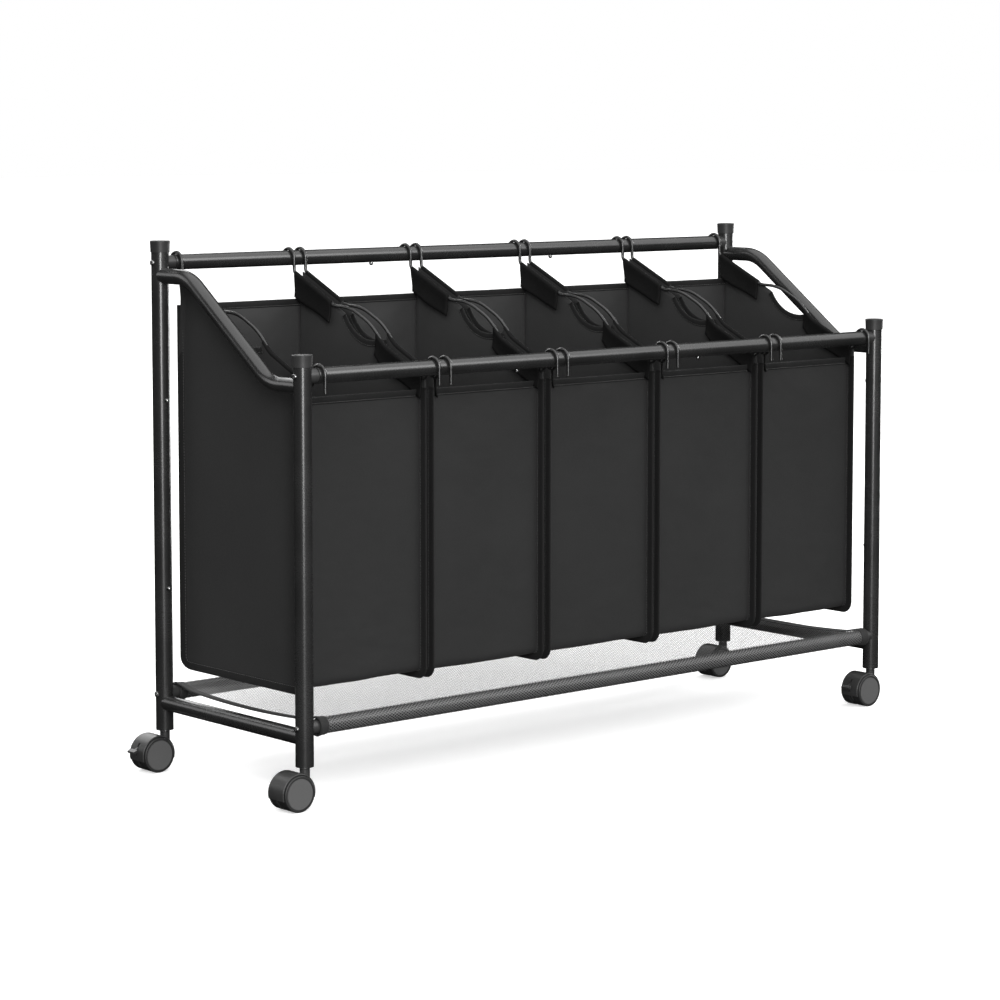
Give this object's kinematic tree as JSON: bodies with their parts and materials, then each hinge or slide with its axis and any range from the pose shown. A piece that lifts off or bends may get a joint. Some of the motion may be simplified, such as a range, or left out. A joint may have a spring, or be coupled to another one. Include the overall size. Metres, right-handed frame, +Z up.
{
  "type": "rolling laundry sorter",
  "caption": "Rolling laundry sorter: a black tube frame on twin-wheel casters, with lift-out cloth bags on wire hangers over a mesh shelf.",
  "frame": {"origin": "on the floor, under the middle of the model's box", "axes": "+X along the rails to the right, -Y the low front, +Y the high back, +Z up"},
  "size_m": [1.1992, 0.3688, 0.754],
  "materials": {
    "frame_paint": "satin",
    "wire_coat": "gloss",
    "bag_cloth": "matte",
    "shelf_mesh": "satin",
    "black_plastic": "matte",
    "wheel_plastic": "satin",
    "bright_steel": "satin"
  },
  "bodies": {
    "frame": {"back_rail_left": "frame_paint", "back_rail_middle": "frame_paint", "back_rail_right": "frame_paint", "caster_sockets": "black_plastic", "caster_stems": "bright_steel", "frame_bolts": "bright_steel", "front_rail_left": "frame_paint", "front_rail_middle": "frame_paint", "front_rail_right": "frame_paint", "lower_rail_back": "frame_paint", "lower_rail_front": "frame_paint", "mesh_shelf": "shelf_mesh", "post_back_left_lower": "frame_paint", "post_back_left_middle": "frame_paint", "post_back_left_upper": "frame_paint", "post_back_right_lower": "frame_paint", "post_back_right_middle": "frame_paint", "post_back_right_upper": "frame_paint", "post_caps": "black_plastic", "post_front_left_lower": "frame_paint", "post_front_left_middle": "frame_paint", "post_front_left_upper": "frame_paint", "post_front_right_lower": "frame_paint", "post_front_right_middle": "frame_paint", "post_front_right_upper": "frame_paint", "rail_end_plugs": "black_plastic", "side_rail_lower_left": "frame_paint", "side_rail_lower_right": "frame_paint", "side_rail_upper_left": "frame_paint", "side_rail_upper_right": "frame_paint", "snap_buttons": "bright_steel"},
    "bag_body_1": {"bag_1": "bag_cloth", "bag_wires_1": "wire_coat"},
    "bag_body_2": {"bag_2": "bag_cloth", "bag_wires_2": "wire_coat"},
    "bag_body_3": {"bag_3": "bag_cloth", "bag_wires_3": "wire_coat"},
    "bag_body_4": {"bag_4": "bag_cloth", "bag_wires_4": "wire_coat"},
    "bag_body_5": {"bag_5": "bag_cloth", "bag_wires_5": "wire_coat"},
    "brake_pedal_back_left_body": {"brake_pedal_back_left": "black_plastic"},
    "brake_pedal_front_right_body": {"brake_pedal_front_right": "black_plastic"},
    "caster_back_left": {"caster_axle_back_left": "bright_steel", "caster_hood_back_left": "black_plastic"},
    "caster_back_right": {"caster_axle_back_right": "bright_steel", "caster_hood_back_right": "black_plastic"},
    "caster_front_left": {"caster_axle_front_left": "bright_steel", "caster_hood_front_left": "black_plastic"},
    "caster_front_right": {"caster_axle_front_right": "bright_steel", "caster_hood_front_right": "black_plastic"},
    "wheel_back_left_inner_body": {"wheel_back_left_inner": "wheel_plastic"},
    "wheel_back_left_outer_body": {"wheel_back_left_outer": "wheel_plastic"},
    "wheel_back_right_inner_body": {"wheel_back_right_inner": "wheel_plastic"},
    "wheel_back_right_outer_body": {"wheel_back_right_outer": "wheel_plastic"},
    "wheel_front_left_inner_body": {"wheel_front_left_inner": "wheel_plastic"},
    "wheel_front_left_outer_body": {"wheel_front_left_outer": "wheel_plastic"},
    "wheel_front_right_inner_body": {"wheel_front_right_inner": "wheel_plastic"},
    "wheel_front_right_outer_body": {"wheel_front_right_outer": "wheel_plastic"}
  },
  "joints": [
    {"name": "swivel_front_left", "type": "hinge", "parent": "frame", "child": "caster_front_left", "pos_m": [-0.54055, -0.165, 0.05], "axis": [0, 0, 1], "continuous": true},
    {"name": "spin_front_left_outer", "type": "hinge", "parent": "caster_front_left", "child": "wheel_front_left_outer_body", "pos_m": [-0.56255, -0.165, 0.025], "axis": [0, 1, 0], "continuous": true},
    {"name": "spin_front_left_inner", "type": "hinge", "parent": "caster_front_left", "child": "wheel_front_left_inner_body", "pos_m": [-0.56255, -0.165, 0.025], "axis": [0, 1, 0], "continuous": true},
    {"name": "swivel_front_right", "type": "hinge", "parent": "frame", "child": "caster_front_right", "pos_m": [0.58445, -0.165, 0.05], "axis": [0, 0, 1], "continuous": true},
    {"name": "spin_front_right_outer", "type": "hinge", "parent": "caster_front_right", "child": "wheel_front_right_outer_body", "pos_m": [0.56245, -0.165, 0.025], "axis": [0, 1, 0], "continuous": true},
    {"name": "spin_front_right_inner", "type": "hinge", "parent": "caster_front_right", "child": "wheel_front_right_inner_body", "pos_m": [0.56245, -0.165, 0.025], "axis": [0, 1, 0], "continuous": true},
    {"name": "brake_front_right", "type": "hinge", "parent": "caster_front_right", "child": "brake_pedal_front_right_body", "pos_m": [0.54645, -0.165, 0.035], "axis": [0, -1, 0], "range_deg": [0, 18]},
    {"name": "swivel_back_left", "type": "hinge", "parent": "frame", "child": "caster_back_left", "pos_m": [-0.54055, 0.165, 0.05], "axis": [0, 0, 1], "continuous": true},
    {"name": "spin_back_left_outer", "type": "hinge", "parent": "caster_back_left", "child": "wheel_back_left_outer_body", "pos_m": [-0.56255, 0.165, 0.025], "axis": [0, 1, 0], "continuous": true},
    {"name": "spin_back_left_inner", "type": "hinge", "parent": "caster_back_left", "child": "wheel_back_left_inner_body", "pos_m": [-0.56255, 0.165, 0.025], "axis": [0, 1, 0], "continuous": true},
    {"name": "brake_back_left", "type": "hinge", "parent": "caster_back_left", "child": "brake_pedal_back_left_body", "pos_m": [-0.57855, 0.165, 0.035], "axis": [0, -1, 0], "range_deg": [0, 18]},
    {"name": "swivel_back_right", "type": "hinge", "parent": "frame", "child": "caster_back_right", "pos_m": [0.58445, 0.165, 0.05], "axis": [0, 0, 1], "continuous": true},
    {"name": "spin_back_right_outer", "type": "hinge", "parent": "caster_back_right", "child": "wheel_back_right_outer_body", "pos_m": [0.56245, 0.165, 0.025], "axis": [0, 1, 0], "continuous": true},
    {"name": "spin_back_right_inner", "type": "hinge", "parent": "caster_back_right", "child": "wheel_back_right_inner_body", "pos_m": [0.56245, 0.165, 0.025], "axis": [0, 1, 0], "continuous": true},
    {"name": "lift_bag_1", "type": "slide", "parent": "frame", "child": "bag_body_1", "axis": [0, 0, 1], "range_m": [0, 0.6]},
    {"name": "lift_bag_2", "type": "slide", "parent": "frame", "child": "bag_body_2", "axis": [0, 0, 1], "range_m": [0, 0.6]},
    {"name": "lift_bag_3", "type": "slide", "parent": "frame", "child": "bag_body_3", "axis": [0, 0, 1], "range_m": [0, 0.6]},
    {"name": "lift_bag_4", "type": "slide", "parent": "frame", "child": "bag_body_4", "axis": [0, 0, 1], "range_m": [0, 0.6]},
    {"name": "lift_bag_5", "type": "slide", "parent": "frame", "child": "bag_body_5", "axis": [0, 0, 1], "range_m": [0, 0.6]}
  ]
}
